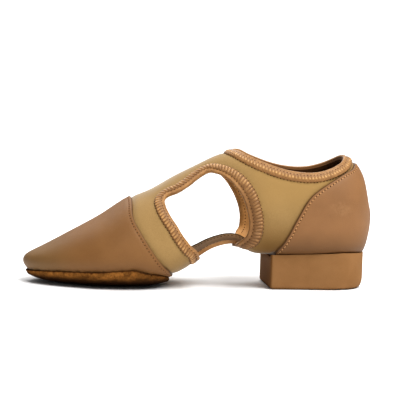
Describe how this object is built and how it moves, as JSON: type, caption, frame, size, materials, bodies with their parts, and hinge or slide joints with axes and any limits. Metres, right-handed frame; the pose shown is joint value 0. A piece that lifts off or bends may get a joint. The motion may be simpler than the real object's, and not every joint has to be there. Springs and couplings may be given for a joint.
{
  "type": "dance teaching shoe",
  "caption": "Left slip-on split-sole dance teaching shoe with a leather toe and counter, tan neoprene upper, bound side cut-outs, suede forefoot sole and a low block heel.",
  "frame": {"origin": "on the floor, under the middle of the shoe's box", "axes": "toe to -X, heel to +X, lateral side to -Y, medial side to +Y, up +Z"},
  "size_m": [0.247, 0.0892, 0.0971],
  "materials": {
    "neoprene": "matte knit over neoprene, tan",
    "toe_leather": "smooth, soft sheen, brown",
    "counter_leather": "smooth, soft sheen, brown",
    "binding": "ribbed satin, light tan",
    "suede": "napped suede, dark brown",
    "heel": "matte, brown",
    "insole": "matte, dark tan",
    "strap": "matte knit, tan"
  },
  "bodies": {
    "root": {"upper": "neoprene", "toe_cap": "toe_leather", "heel_counter": "counter_leather", "collar_binding": "binding", "window_binding_lateral": "binding", "window_binding_medial": "binding", "sole_patch": "suede", "heel_block": "heel", "insole_forefoot": "insole", "insole_heel": "insole", "arch_strap": "strap"}
  },
  "joints": []
}
